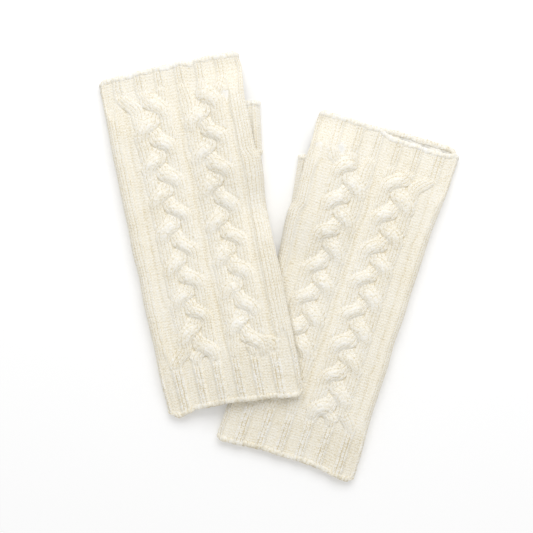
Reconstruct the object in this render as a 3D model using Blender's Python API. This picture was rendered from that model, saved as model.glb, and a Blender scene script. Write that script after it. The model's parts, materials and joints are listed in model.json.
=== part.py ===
"""A pair of cable-knit fingerless gloves, laid flat with the palms down.

The right glove lies flat on the table and the wrist end of the left glove drapes over it.
Each glove is a flattened tube: a back panel and a palm panel joined by two side seams, a
ribbed cuff at the wrist, a ribbed band at the fingers, and a thumb sleeve.  The sleeve is
tucked half under the palm, where the palm panel has its thumb hole, and swings out about
the corner where it leaves the hand.

Lengths are in metres and angles in degrees.  +Z is up, +Y points from the wrists to the
fingers, the table is z = 0, and the origin is on the table under the middle of the pair.
A point of a glove is first given as (across, along, up): across from the glove's centre
line towards its thumb, along from its middle towards the fingers, up from the table.
"""
import math
from collections import namedtuple

import bmesh
import bpy
from mathutils import Vector

# ---- driving dimensions ---------------------------------------------------------------
GLOVE_LENGTH = 0.230
HAND_HEIGHT = 0.011            # the flattened tube, outside
FABRIC = 0.0026                # thickness of the hand's fabric
CUFF_LENGTH = 0.034            # wrist ribbing with its edge
BAND_LENGTH = 0.022            # finger ribbing with its edge
EDGE_LENGTH = 0.0025           # cast-on and bind-off edges
EDGE_ROUND = 0.0007            # how far the edges' corners are rounded off
GAP = 0.00035                  # clearance between touching pieces
SEAM_ANGLE = 14.0              # half of a side seam's arc on the folded side

GUSSET = 0.0026                # how far the thumb gusset widens the hand
GUSSET_START = 0.012
GUSSET_PEAK = 0.046
GUSSET_END = 0.054

SLEEVE_WIDTH = 0.026           # thumb sleeve, laid flat
SLEEVE_LENGTH = 0.034
SLEEVE_HEIGHT = 0.0092
SLEEVE_FABRIC = 0.0016
SLEEVE_ROOT = 0.050            # along, where the sleeve leaves the hand
SLEEVE_LEAN = 8.7              # outwards from the glove's own line
THUMB_SEAM_LENGTH = 0.0018

PALM_LIFT = SLEEVE_HEIGHT + 0.0004     # how far the sleeve lifts the palm
BACK_LIFT = 0.0048                     # and the back, so the hand is flatter over the sleeve
LIFT_SIDE_RAMP = (-0.046, -0.0275)     # across, from the sleeve's outer edge
PALM_ROOT_RAMP = (-0.0130, -0.0045)    # along, from the sleeve's root
BACK_ROOT_RAMP = (-0.0400, -0.0045)
LIFT_TIP_RAMP = (0.041, 0.060)

HOLE_ACROSS = (-0.0225, -0.0060)       # thumb hole, from the sleeve's outer edge
HOLE_ALONG = (-0.0120, 0.0040)         # and from its root
HOLE_UP = (0.0024, 0.0092)

DRAPE_HEIGHT = HAND_HEIGHT + 0.0006    # the left glove, where it lies on the right one
DRAPE_RUN = 0.032                      # and how far it takes to come down beside it
DRAPE_FADE = (0.020, 0.050)            # along the right glove, where the overlap ends

SIDE_STEPS = 3                         # facets in a quarter of a folded side
FLAT_STEPS = 8                         # facets across the flat of the hand

Glove = namedtuple("Glove", "name side centre turn wrist waist fingers sleeve_out")
RIGHT = Glove("right", -1.0, Vector((0.0395, -0.0194)), -17.8, 0.0487, 0.0469, 0.0489, 0.0489)
LEFT = Glove("left", 1.0, Vector((-0.0506, 0.0198)), 11.3, 0.0455, 0.0469, 0.0488, 0.0508)

WOOL = {
    "back_panel": (0.86, 0.81, 0.70),
    "palm_panel": (0.85, 0.80, 0.69),
    "outer_side_seam": (0.80, 0.74, 0.62),
    "thumb_side_seam": (0.80, 0.74, 0.62),
    "wrist_cuff": (0.84, 0.78, 0.66),
    "finger_band": (0.84, 0.79, 0.67),
    "wrist_edge": (0.88, 0.84, 0.74),
    "finger_edge": (0.88, 0.84, 0.74),
    "thumb_seam": (0.80, 0.74, 0.62),
    "thumb_sleeve": (0.85, 0.79, 0.68),
    "thumb_edge": (0.88, 0.84, 0.74),
}


def clear_scene():
    for thing in list(bpy.data.objects):
        bpy.data.objects.remove(thing, do_unlink=True)


def smooth(value, low, high):
    """0 below low, 1 above high, and an even curve between."""
    t = min(1.0, max(0.0, (value - low) / (high - low)))
    return t * t * (3.0 - 2.0 * t)


def spread(start, stop, count):
    """count + 1 even values from start to stop."""
    return [start + (stop - start) * step / count for step in range(count + 1)]


# ---- the shape of a glove -----------------------------------------------------------------
def half_width(glove, along, on_thumb_side):
    """Half of the hand's width: a gentle waist, and the gusset's swell beside the thumb."""
    place = 2.0 * along / GLOVE_LENGTH
    bow = (glove.wrist + glove.fingers) / 2.0 - glove.waist
    width = glove.waist + (glove.fingers - glove.wrist) / 2.0 * place + bow * place * place
    if on_thumb_side:
        rise = smooth(along, GUSSET_START, GUSSET_PEAK)
        fall = smooth(along, GUSSET_PEAK, GUSSET_END)
        width += GUSSET * (rise - fall)
    return width


def sleeve_point(glove, across, along):
    """A place counted from the sleeve's outer root corner, as the glove's (across, along)."""
    lean = math.radians(SLEEVE_LEAN)
    return (
        glove.sleeve_out + across * math.cos(lean) + along * math.sin(lean),
        SLEEVE_ROOT - across * math.sin(lean) + along * math.cos(lean),
    )


def from_sleeve(glove, across, along):
    """The glove's (across, along) as a place counted from the sleeve's outer root corner."""
    lean = math.radians(SLEEVE_LEAN)
    side = across - glove.sleeve_out
    ahead = along - SLEEVE_ROOT
    return (
        side * math.cos(lean) - ahead * math.sin(lean),
        side * math.sin(lean) + ahead * math.cos(lean),
    )


def on_table(glove, across, along):
    """The glove's (across, along) as world x and y."""
    turn = math.radians(glove.turn)
    side = glove.side * across
    return Vector((
        glove.centre.x + side * math.cos(turn) - along * math.sin(turn),
        glove.centre.y + side * math.sin(turn) + along * math.cos(turn),
    ))


def thumb_lift(glove, across, along):
    """How far the sleeve lifts the palm and the back here."""
    side, ahead = from_sleeve(glove, across, along)
    beside = smooth(side, *LIFT_SIDE_RAMP) * (1.0 - smooth(ahead, *LIFT_TIP_RAMP))
    palm = PALM_LIFT * beside * smooth(ahead, *PALM_ROOT_RAMP)
    back = BACK_LIFT * beside * smooth(ahead, *BACK_ROOT_RAMP)
    return palm, back


def drape(spot):
    """How high the left glove is carried at a world x and y by the right glove under it."""
    turn = math.radians(RIGHT.turn)
    offset = spot - RIGHT.centre
    towards_thumb = RIGHT.side * (offset.x * math.cos(turn) + offset.y * math.sin(turn))
    along = -offset.x * math.sin(turn) + offset.y * math.cos(turn)
    inside = RIGHT.fingers - towards_thumb
    return DRAPE_HEIGHT * smooth(inside, -DRAPE_RUN, 0.0) * (1.0 - smooth(along, *DRAPE_FADE))


def hand_point(glove, across, along, up):
    """A point of the hand's tube, lifted over the thumb and draped over the other glove."""
    spot = on_table(glove, across, along)
    palm, back = thumb_lift(glove, across, along)
    height = up + palm + (back - palm) * up / HAND_HEIGHT
    if glove is LEFT:
        height += drape(spot)
    return Vector((spot.x, spot.y, height))


def thumb_point(glove, across, along, up):
    """A point of the thumb sleeve, which lies flat on the table."""
    spot = on_table(glove, *sleeve_point(glove, across, along))
    return Vector((spot.x, spot.y, up))


def arc(radius, start, stop, steps):
    """Points of a folded side, by angle: -90 is the bottom, 0 the side, 90 the top."""
    turns = [math.radians(angle) for angle in spread(start, stop, steps)]
    return [(radius * math.cos(turn), radius * math.sin(turn)) for turn in turns]


def flat_tube_section(low, high, height, inset, start=-90.0, stop=270.0):
    """A flattened tube's outline from low to high across, inset from its outer surface.

    It runs anticlockwise by angle from start: -90 to 90 is the thumb's side, then come the
    top, the far side and the bottom.  Only the stretch from start to stop is given.
    """
    middle = height / 2.0
    radius = middle - inset
    right, left = high - middle, low + middle
    flat = spread(right, left, FLAT_STEPS)[1:-1]
    points = []
    if start < 90.0:
        side = arc(radius, start, min(stop, 90.0), 2 * SIDE_STEPS if stop > 90.0 and start <= -90.0
                   else SIDE_STEPS)
        points += [(right + x, middle + y) for x, y in side]
    if stop > 90.0:
        if start <= 90.0:
            points += [(x, middle + radius) for x in flat]
        begin = max(start, 90.0)
        steps = 2 * SIDE_STEPS if begin == 90.0 and stop >= 270.0 else SIDE_STEPS
        side = arc(radius, begin, min(stop, 270.0), steps)
        points += [(left + x, middle + y) for x, y in side]
    if stop >= 270.0:
        points += [(x, middle - radius) for x in reversed(flat)]
    if stop > 270.0:
        side = arc(radius, -90.0, stop - 360.0, SIDE_STEPS)
        points += [(right + x, middle + y) for x, y in side]
    return points


# ---- solids -----------------------------------------------------------------------------------
def shell_solid(outer, inner, closed):
    """A thick skin between two grids of points, each a list of sections along the tube.

    closed joins the last point of each section to its first, which makes a tube.
    """
    mesh = bmesh.new()
    rows = len(outer)
    count = len(outer[0])
    outside = [[mesh.verts.new(point) for point in section] for section in outer]
    inside = [[mesh.verts.new(point) for point in section] for section in inner]
    steps = range(count if closed else count - 1)
    for row in range(rows - 1):
        for step in steps:
            after = (step + 1) % count
            for skin in (outside, inside):
                mesh.faces.new((skin[row][step], skin[row][after],
                                skin[row + 1][after], skin[row + 1][step]))
    for row in (0, rows - 1):
        for step in steps:
            after = (step + 1) % count
            mesh.faces.new((outside[row][step], outside[row][after],
                            inside[row][after], inside[row][step]))
    if not closed:
        for row in range(rows - 1):
            for step in (0, count - 1):
                mesh.faces.new((outside[row][step], outside[row + 1][step],
                                inside[row + 1][step], inside[row][step]))
    bmesh.ops.recalc_face_normals(mesh, faces=mesh.faces)
    return mesh


def hand_section(glove, along, inset, start, stop):
    """One section of the hand's tube, as points in the world."""
    low = -half_width(glove, along, False)
    high = half_width(glove, along, True)
    section = flat_tube_section(low, high, HAND_HEIGHT, inset, start, stop)
    return [hand_point(glove, across, along, up) for across, up in section]


def hand_strip(glove, stations, start, stop):
    """The part of the hand's tube between two angles."""
    outer = [hand_section(glove, along, 0.0, start, stop) for along in stations]
    inner = [hand_section(glove, along, FABRIC, start, stop) for along in stations]
    return shell_solid(outer, inner, closed=False)


def hand_tube(glove, stations, insets=None):
    """A whole stretch of the hand's tube, its skins drawn in by insets at each station."""
    insets = insets or [0.0] * len(stations)
    outer = []
    inner = []
    for along, inset in zip(stations, insets):
        outer.append(hand_section(glove, along, inset, -90.0, 270.0))
        inner.append(hand_section(glove, along, FABRIC - inset, -90.0, 270.0))
    return shell_solid(outer, inner, closed=True)


def sleeve_section(glove, along, inset):
    section = flat_tube_section(-SLEEVE_WIDTH, 0.0, SLEEVE_HEIGHT, inset)
    return [thumb_point(glove, across, along, up) for across, up in section]


def sleeve_tube(glove, stations, insets=None):
    """A stretch of the thumb sleeve."""
    insets = insets or [0.0] * len(stations)
    outer = []
    inner = []
    for along, inset in zip(stations, insets):
        outer.append(sleeve_section(glove, along, inset))
        inner.append(sleeve_section(glove, along, SLEEVE_FABRIC - inset))
    return shell_solid(outer, inner, closed=True)


def material_for(piece, glove):
    """One matt wool for each piece of each glove."""
    wool = bpy.data.materials.new(f"{glove.name}_{piece}_wool")
    wool.use_nodes = True
    shader = wool.node_tree.nodes["Principled BSDF"]
    shader.inputs["Base Color"].default_value = (*WOOL[piece], 1.0)
    shader.inputs["Roughness"].default_value = 0.95
    shader.inputs["Metallic"].default_value = 0.0
    return wool


def add_piece(glove, piece, solid, holder):
    """Turns a solid given in world places into a named object under its empty."""
    origin = holder.matrix_world.translation
    bmesh.ops.translate(solid, verts=solid.verts, vec=-origin)
    mesh = bpy.data.meshes.new(f"{glove.name}_{piece}")
    solid.to_mesh(mesh)
    solid.free()
    mesh.shade_smooth()
    mesh.set_sharp_from_angle(angle=math.radians(40.0))
    thing = bpy.data.objects.new(f"{glove.name}_{piece}", mesh)
    thing.data.materials.append(material_for(piece, glove))
    thing.parent = holder
    bpy.context.scene.collection.objects.link(thing)
    return thing


def add_empty(name, spot, parent=None):
    empty = bpy.data.objects.new(name, None)
    empty.empty_display_size = 0.01
    empty.parent = parent
    empty.location = (spot.x, spot.y, 0.0)
    if parent:
        empty.location -= parent.location
    bpy.context.scene.collection.objects.link(empty)
    bpy.context.view_layer.update()
    return empty


# ---- the pieces ----------------------------------------------------------------------------------
def panel_stations():
    """Where the panels have sections: close together at the thumb's root, wider elsewhere."""
    wrist = -GLOVE_LENGTH / 2.0 + CUFF_LENGTH + GAP
    fingers = GLOVE_LENGTH / 2.0 - BAND_LENGTH - GAP
    root = SLEEVE_ROOT + PALM_ROOT_RAMP[0]
    above_root = SLEEVE_ROOT + 0.003
    return spread(wrist, root, 7) + spread(root, above_root, 5)[1:] + \
        spread(above_root, fingers, 3)[1:]


def back_panel(glove, holder):
    solid = hand_strip(glove, panel_stations(), SEAM_ANGLE, 180.0 - SEAM_ANGLE)
    add_piece(glove, "back_panel", solid, holder)


def palm_panel(glove, holder):
    """The lower half of the hand, with the thumb hole where it steps up over the sleeve."""
    solid = hand_strip(glove, panel_stations(), 180.0 + SEAM_ANGLE, 360.0 - SEAM_ANGLE)
    panel = add_piece(glove, "palm_panel", solid, holder)
    cutter = thumb_hole_cutter(glove, holder)
    cut = panel.modifiers.new("thumb_hole", "BOOLEAN")
    cut.operation = "DIFFERENCE"
    cut.solver = "EXACT"
    cut.object = cutter


def thumb_hole_cutter(glove, holder):
    """A block through the palm's step, in line with the sleeve."""
    solid = bmesh.new()
    corners = []
    for up in HOLE_UP:
        for across, along in ((0, 0), (1, 0), (1, 1), (0, 1)):
            point = thumb_point(glove, HOLE_ACROSS[across], HOLE_ALONG[along], up)
            corners.append(solid.verts.new(point))
    bottom = solid.faces.new(corners[:4])
    top = solid.faces.new(corners[4:])
    bmesh.ops.bridge_loops(solid, edges=list(bottom.edges) + list(top.edges))
    bmesh.ops.recalc_face_normals(solid, faces=solid.faces)
    cutter = add_piece(glove, "palm_panel", solid, holder)
    cutter.name = f"{glove.name}_thumb_hole_cutter"
    cutter.hide_render = True
    cutter.display_type = "WIRE"
    return cutter


def side_seams(glove, holder):
    """The linked seams that join back and palm along both folded sides."""
    margin = math.degrees(GAP / (HAND_HEIGHT / 2.0 - FABRIC))
    half = SEAM_ANGLE - margin
    thumb_side = hand_strip(glove, panel_stations(), -half, half)
    add_piece(glove, "thumb_side_seam", thumb_side, holder)
    outer_side = hand_strip(glove, panel_stations(), 180.0 - half, 180.0 + half)
    add_piece(glove, "outer_side_seam", outer_side, holder)


def wrist_cuff(glove, holder):
    start = -GLOVE_LENGTH / 2.0
    ribbing = spread(start + EDGE_LENGTH + GAP, start + CUFF_LENGTH, 4)
    add_piece(glove, "wrist_cuff", hand_tube(glove, ribbing), holder)
    edge = [start, start + EDGE_ROUND, start + EDGE_LENGTH]
    rounded = hand_tube(glove, edge, [EDGE_ROUND, 0.0, 0.0])
    add_piece(glove, "wrist_edge", rounded, holder)


def finger_band(glove, holder):
    stop = GLOVE_LENGTH / 2.0
    ribbing = spread(stop - BAND_LENGTH, stop - EDGE_LENGTH - GAP, 3)
    add_piece(glove, "finger_band", hand_tube(glove, ribbing), holder)
    edge = [stop - EDGE_LENGTH, stop - EDGE_ROUND, stop]
    rounded = hand_tube(glove, edge, [0.0, 0.0, EDGE_ROUND])
    add_piece(glove, "finger_edge", rounded, holder)


def thumb(glove, holder, pivot):
    """The sleeve and its edge turn with the pivot; the seam at its root stays on the hand."""
    seam = sleeve_tube(glove, [-THUMB_SEAM_LENGTH - GAP, -GAP])
    add_piece(glove, "thumb_seam", seam, holder)
    sleeve = spread(0.0, SLEEVE_LENGTH - EDGE_LENGTH - GAP, 3)
    add_piece(glove, "thumb_sleeve", sleeve_tube(glove, sleeve), pivot)
    edge = [SLEEVE_LENGTH - EDGE_LENGTH, SLEEVE_LENGTH - EDGE_ROUND, SLEEVE_LENGTH]
    rounded = sleeve_tube(glove, edge, [0.0, 0.0, EDGE_ROUND])
    add_piece(glove, "thumb_edge", rounded, pivot)


def build_glove(glove):
    holder = add_empty(f"{glove.name}_glove", glove.centre)
    root_corner = on_table(glove, *sleeve_point(glove, 0.0, 0.0))
    pivot = add_empty(f"{glove.name}_thumb", root_corner, holder)
    back_panel(glove, holder)
    palm_panel(glove, holder)
    side_seams(glove, holder)
    wrist_cuff(glove, holder)
    finger_band(glove, holder)
    thumb(glove, holder, pivot)
    return holder


def centre_pair(holders):
    """Moves the pair so that the origin is under the middle of its outline."""
    bpy.context.view_layer.update()
    pieces = [thing for thing in bpy.data.objects
              if thing.type == "MESH" and not thing.hide_render]
    corners = [thing.matrix_world @ vert.co for thing in pieces for vert in thing.data.vertices]
    middle_x = (min(c.x for c in corners) + max(c.x for c in corners)) / 2.0
    middle_y = (min(c.y for c in corners) + max(c.y for c in corners)) / 2.0
    for holder in holders:
        holder.location -= Vector((middle_x, middle_y, 0.0))
    bpy.context.view_layer.update()


clear_scene()
centre_pair([build_glove(RIGHT), build_glove(LEFT)])
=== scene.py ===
"""The looks of a pair of cable-knit fingerless gloves, knitted as fine mesh round the CAD frame.

Every piece is a closed shell of fabric or a rolled ring.  A shell's outer skin is a fine lattice,
with WALE_POINTS points to a wale, raised by one height field: V-shaped knit stitches, purl
bumps, ribs, and two plaits of three strands that cross over and under each other.  Its inner
skin is coarse and smooth.

The frame is in metres; the knitting below is worked out in millimetres.  A place on the hand
is (s, v): s runs round the flattened tube from the middle of the back, positive towards the
thumb, and v runs along it from its middle towards the fingers.
"""

import json
import math
from collections import namedtuple

import bpy
import numpy as np
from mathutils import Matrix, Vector


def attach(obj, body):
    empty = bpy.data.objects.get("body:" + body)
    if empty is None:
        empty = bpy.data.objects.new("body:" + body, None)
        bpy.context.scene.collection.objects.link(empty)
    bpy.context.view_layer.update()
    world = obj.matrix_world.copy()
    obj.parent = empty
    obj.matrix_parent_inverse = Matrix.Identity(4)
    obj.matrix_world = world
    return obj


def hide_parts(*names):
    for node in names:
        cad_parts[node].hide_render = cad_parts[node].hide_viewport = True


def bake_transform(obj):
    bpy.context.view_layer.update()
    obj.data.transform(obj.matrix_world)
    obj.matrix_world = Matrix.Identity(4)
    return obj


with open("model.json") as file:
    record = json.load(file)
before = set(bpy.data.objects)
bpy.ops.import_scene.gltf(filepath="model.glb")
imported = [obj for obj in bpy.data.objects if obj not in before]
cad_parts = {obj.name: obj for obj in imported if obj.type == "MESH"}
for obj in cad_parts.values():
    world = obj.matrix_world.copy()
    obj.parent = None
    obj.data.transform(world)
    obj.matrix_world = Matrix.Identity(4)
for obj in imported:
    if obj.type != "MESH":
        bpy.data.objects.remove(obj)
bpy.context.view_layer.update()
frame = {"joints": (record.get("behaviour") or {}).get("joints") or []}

MM = 0.001

# ---- the gloves' shape, as in the CAD model ----------------------------------
GLOVE_LENGTH = 230.0
HAND_HEIGHT = 11.0
HAND_RADIUS = HAND_HEIGHT / 2.0
SLEEVE_WIDTH = 26.0
SLEEVE_LENGTH = 34.0
SLEEVE_HEIGHT = 9.2
SLEEVE_RADIUS = SLEEVE_HEIGHT / 2.0
SLEEVE_ROOT = 50.0                     # its outer root corner, along the glove
SLEEVE_LEAN = math.radians(8.7)        # outwards from the glove's length
GUSSET = 2.6                           # how far the side swells below the sleeve
GUSSET_SWELL = (12.0, 46.0, 54.0)      # starts, peaks, ends
PALM_LIFT = SLEEVE_HEIGHT + 0.4        # of the palm over the sleeve, and then of the back
BACK_LIFT = 4.8
LIFT_SIDE_RAMP = (-46.0, -27.5)        # the four ramps are counted from the sleeve's root corner
PALM_ROOT_RAMP = (-13.0, -4.5)
BACK_ROOT_RAMP = (-40.0, -4.5)
LIFT_TIP_RAMP = (41.0, 60.0)
HOLE_ACROSS = (-22.5, -6.0)            # the thumb's hole in the palm, from the same corner
HOLE_ALONG = (-12.0, 4.0)

# ---- how the soft gloves settle, where the CAD model is plainer --------------
DRAPE_HEIGHT = HAND_HEIGHT - 0.9       # of the left glove, which sinks into the right one
DRAPE_RUN = 32.0                       # over which the left glove comes down beside the right one
DRAPE_FADE = (20.0, 50.0)              # along the right glove, where it has left it
PRESSED_EDGE = (-2.0, 3.0)             # inside the left glove's outline, where its weight sets in
MOUTH_FLAT = 0.4                       # of its height, which the tube loses towards its mouths
MOUTH_RUN = (75.0, 113.0)              # from the glove's middle
CORNER = (41.0, 49.5, 2.4)             # a mouth's rounded corner: starts, ends, and its depth
CORNER_EASE = (109.0, 116.0, 1.1)      # how its side turns in: starts, ends, and how far
MOUTH_LOW = (-49.0, -36.0, -12.0, 14.0)  # across a gaping mouth: falls, is low, rises, is up
RIM_PULL = (45.0, 40.0)                # how far the wrist's and fingers' rims pull the fabric
EASE_CORE = 0.7                        # of the flat part, beyond which a side is let out

# ---- the knitting ------------------------------------------------------------
HAND_WALES = 90                        # round the hand
SLEEVE_WALES = 28                      # round the thumb sleeve
WALE_POINTS = 6
COLUMNS = HAND_WALES * WALE_POINTS
ROWS = 480
SKIP = WALE_POINTS                     # the inner skin keeps one point to a wale
NOMINAL_REACH = 47.0                   # half of the hand's width, where wales are counted
HAND_FLAT = NOMINAL_REACH - HAND_RADIUS
HALF_ROUND = 2.0 * HAND_FLAT + math.pi * HAND_RADIUS
SIDE = HALF_ROUND / 2.0                # s at the folded side
WALE = 2.0 * HALF_ROUND / HAND_WALES
COURSE = 1.92                          # one row of stitches
ROW = GLOVE_LENGTH / ROWS              # one row of lattice points
SLEEVE_COLUMNS = SLEEVE_WALES * WALE_POINTS
SLEEVE_ROWS = 72
ROOT_ROWS = 24                         # of the sleeve inside the hand, behind its seam
SLEEVE_ROUND = 2.0 * (SLEEVE_WIDTH - SLEEVE_HEIGHT) + math.pi * SLEEVE_HEIGHT
CUFF_FLAT = (0.2006, 0.0345)
BAND_FLAT = (0.2006, 0.023)
RIM_SIDES = 14                         # points round a rolled edge
RIM_HALF = 1.9                         # half of a rolled edge's length along the glove
EDGE_ROWS = 6                          # which a rolled edge takes from its tube
CUFF_ROWS = 72                         # counted from the glove's ends
BAND_ROWS = 48
SEAM_COLUMNS = 3                       # to each side of a folded side

GROUND = 2.6                           # the purl ground lies this far under the CAD's skin
LINING = 3.5                           # and the inner skin of the back this far
PALM_LINING = 2.6
SLEEVE_GROUND = 1.3
SLEEVE_LINING = 1.9
SLEEVE_RISE = 0.75                     # of its ribs
ROOT_TAPER = 0.35                      # which the sleeve loses of its width and height there
KNIT_RISE = 1.15                       # knit columns over the purl ground
CUFF_RIB_RISE = 1.15                   # and the ribs' rounded columns
BAND_RIB_RISE = 0.7
PRESSED_SHARE = 0.6                    # of the right glove's relief, flattened by the left one
KNIT_DEPTH = 0.66                      # relief of one knit stitch
RIB_DEPTH = 1.3 * KNIT_DEPTH
STRAND_DEPTH = 1.1 * KNIT_DEPTH
SLEEVE_DEPTH = 0.8 * KNIT_DEPTH
PURL_DEPTH = 0.32
KNIT_SLANT = 0.7                       # of a V's leg, in courses
PURL_WAVE = 0.16                       # of a purl row, in courses
PURL_EVEN = 0.8                        # share of a purl row that doesn't change along it
RIB_WALES = 3
RIB_REPEAT = 6
RIB_WALE = 2.5                         # the middle wale of one of the ribs
RIB_ROUND = 0.7                        # power that rounds a rib's shoulders
SLEEVE_RIB = (2, 4)                    # knit wales of a sleeve's rib, and its repeat
RIB_TONGUE = 10.0                      # how much further a rib's valley reaches into the panel
MIDDLE_RUN = (-30.0, 30.0)             # from the wrist's half of a glove to the fingers' half
RIB_ENDS = (-7.0, 4.0)                 # where panel turns to ribbing, about the plaits' ends
PLAIT_ENDS = (1.0, 7.0)                # where the plaits fade out
STRAND_ENDS = (-13.0, 2.0)             # where strands line up with the ribs
NARROW_ENDS = (-6.0, 2.0)              # where they narrow
BORDER_EDGE = (-0.8, 0.6)              # across the step from purl ground to a knitted border
PLAITS = (16.2, -17.4)                 # their middles, across the back
STRAND_WALES = 4
STRAND_GAP = STRAND_WALES * WALE       # between the strands of a plait
STRAND_HALF = 4.6                      # half of a strand's width
STRAND_NARROW = 0.76                   # of its width, which it keeps in the ribs
STRAND_RISE = 1.25
STRAND_ROUND = 0.5                     # power that rounds its top
STRAND_STEP = 0.5                      # millimetres ahead, to find which way it runs
CROSSINGS = 15                         # of a plait, from the cuff to the finger band
LOBE_BEND = 9.5                        # radius of a crossing strand's bend towards the middle
LOBE_TURN = math.radians(65.0)
LOBE_START = -6.5                      # where it starts to bend, from the crossing's own place
LOBE_HALF = (4.1, 5.9)                 # half of its width, where it starts and at its blunt end
LOBE_RISE = (1.3, 3.0)
LOBE_ROUND = 0.85                      # power that rounds its top
LOBE_GROWS = (-4.0, 0.75 * LOBE_BEND * LOBE_TURN)
LOBE_TILT = 0.16                       # lower on the outside of its bend
LOBE_SINKS = (-9.0, -4.0)              # where it comes up from the strand's own height
LOBE_VARIES = (0.5, 0.06, 0.07)        # in its place, its width and its rise
LOBE_PAINTED_HIGHLIGHT = (1.6, 3.2, 0.12)           # heights between which painted highlight pales its stitches on its top, and how much
BAND_DELAY = 4.0                       # of the strands' way into the ribs, at the fingers
CHANNEL_DEPTH = 0.55                   # the grooves beside and between the plaits
CHANNEL_WIDTH = 1.0
CHANNEL_SHIFTS = (0.8, -2.2, 4.2)      # from the plaits' middle, and from the two borders
SIDE_CHANNEL = 0.7                     # as deep as the middle one
# painted shade in the creases between strands: how far round the local mean height reaches, and the
# depths under it where the shade sets in
CREASE_REACH = 7                       # in lattice points
CREASE_DEPTH = (0.35, 1.3)             # under the fabric around it
SEAM_DEPTH = 0.5                       # of a linked seam's groove, and the height of its bars
SEAM_BAR = 0.4
RIM_PLUMP = (0.94, 0.08)               # a rolled edge's thickness, and how its loops add to it
RIM_PADDING = 0.55                     # over half of the fabric's thickness
LOOP_TWIST = 0.2                       # of its loops round the roll, in wales

# ---- how pale the yarn is: 0 in the deepest gap, painted shade, to 1 on a brushed crest, partly painted highlight ---
PURL_TONE = (0.3, 0.38)                # its base, low as painted shade on the sunken ground, and what the bumps add
CUFF_PURL_PAINTED_SHADE = -0.05                 # painted shade, added to the purl valleys in the cuff
CUFF_KNIT_PAINTED_SHADE_AND_HIGHLIGHT = (-0.19, 0.5)          # added there in the gaps as painted shade, and for each unit up the yarn as painted highlight
# the sleeve's purl valleys: a low base as painted shade, and what the bumps add
SLEEVE_PURL_TONE = (0.15, 0.7)
BRUSHED_TONE = 0.62                    # where hairs cover the stitches
BRUSHED_HEIGHTS = (1.6, 3.0)           # of a strand, between which brushing covers its stitches
BRUSHED_SHARE = (0.15, 0.4)            # everywhere, and added on the highest places
# painted shade in the grooves beside and between the plaits
CHANNEL_PAINTED_SHADE = -0.2
# painted shade in the creases between strands
CREASE_PAINTED_SHADE = -0.28
# painted shade in a seam's groove between its bars
SEAM_PAINTED_SHADE = -0.2
LINING_TONE = 0.85
WRIST_EDGE_TONES = (0.35, 0.0)         # on a rolled edge's top and on its underside, where the lower tone is painted shade
FINGER_EDGE_TONES = (0.55, 0.42)
THUMB_SEAM_TONES = (0.35, 0.1)
THUMB_EDGE_TONES = (0.5, 0.4)
RIM_PAINTED_SHADE_SPAN = (-0.6, 0.2)                # where painted shade sets in from its top to its underside, as a sine
# paler loops, so that painted shade lies between them
RIM_LOOP_TONE = 0.2

# ---- hand knitting is uneven -------------------------------------------------
# Each waver has its size, the length of a hill in its two directions, and a seed.
NOISE_CELLS = 64                       # hills or hollows each way before the noise repeats
Waver = namedtuple("Waver", "size across along seed")
FINGER_RIM_WAVER = Waver(0.5, 9.0, 1.0, 11)
WRIST_RIM_WAVER = Waver(0.5, 8.0, 1.0, 12)
SIDE_WAVER = Waver(0.45, 17.0, 1.0, 21)
WALE_WAVER = Waver(0.12, 3.1, 4.3, 31)
COURSE_DRIFT = Waver(0.3, 14.0, 11.0, 32)
COURSE_WAVER = Waver(0.12, 2.7, 2.9, 33)
ACROSS_WAVER = Waver(0.5, 11.0, 9.0, 34)
ALONG_WAVER = Waver(0.9, 9.0, 13.0, 35)
RIB_END_WAVER = Waver(1.2, 5.0, 1.0, 39)
CHANNEL_WAVER = Waver(0.9, 15.0, 1.0, 40)
CUFF_FLECKS = Waver(0.26, 1.2, 1.7, 45)
BRUSHED_FLECKS = Waver(0.55, 0.9, 0.9, 38)
SWELLS = Waver(0.4, 24.0, 31.0, 36)
FUZZ = Waver(0.11, 1.1, 1.1, 37)
SLEEVE_WALE_WAVER = Waver(0.12, 3.1, 4.3, 41)
SLEEVE_COURSE_WAVER = Waver(0.2, 9.0, 8.0, 42)
SLEEVE_FUZZ = Waver(0.1, 1.1, 1.3, 43)
RIM_LUMPS = Waver(0.2, 1.9, 1.0, 51)
RIM_FUZZ = Waver(0.16, 0.7, 0.5, 52)
RIM_FLECKS = Waver(0.3, 0.9, 1.0, 53)

# One strand over three beats of a plait: it crosses over to the middle, on under its neighbour
# to the far side, and rests there.  Its lane runs from 1 to -1, and its lift is in millimetres.
STRAND_LANES = ((0.0, 1.0), (1.0, 0.0), (2.0, -1.0))
STRAND_LIFTS = ((0.0, 0.1), (0.5, 0.5), (1.0, 0.3), (1.5, -0.7), (2.0, -0.1), (3.0, 0.1))

# What differs between the gloves: the side its thumb is on, its turn on the table, half of its
# width at three places, its sleeve's root corner, its plaits' first crossing and the way to the
# next, the start of its knitted borders, how far its sides are let out at places along them, how
# far its rims bulge at places across them, and how far the back hangs behind the palm's rim.
Glove = namedtuple(
    "Glove",
    "name side turn wrist waist fingers sleeve_out first_beat beat "
    "outer_border thumb_border outer_ease thumb_ease wrist_rim finger_rim mouth_drop",
)
RIGHT = Glove(
    "right", -1.0, math.radians(-17.8), 48.7, 46.9, 48.9, 48.9,
    first_beat=-74.4, beat=11.31,
    outer_border=41.0, thumb_border=38.5,
    outer_ease=((-115, 0.8), (60, 0.9), (92, 2.6), (115, 2.2)),
    thumb_ease=((-115, 2.2), (-60, 1.0), (40, 0.6), (85, 1.8), (115, 2.2)),
    wrist_rim=((-48, -1.5), (-42, -2.0), (-18, 1.0), (10, 1.2), (40, -1.2), (48, -1.0)),
    finger_rim=((-48, 2.2), (-38, 5.0), (-12, 5.1), (4, 3.4), (14, 2.4), (48, 2.4)),
    mouth_drop=6.2,
)
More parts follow.
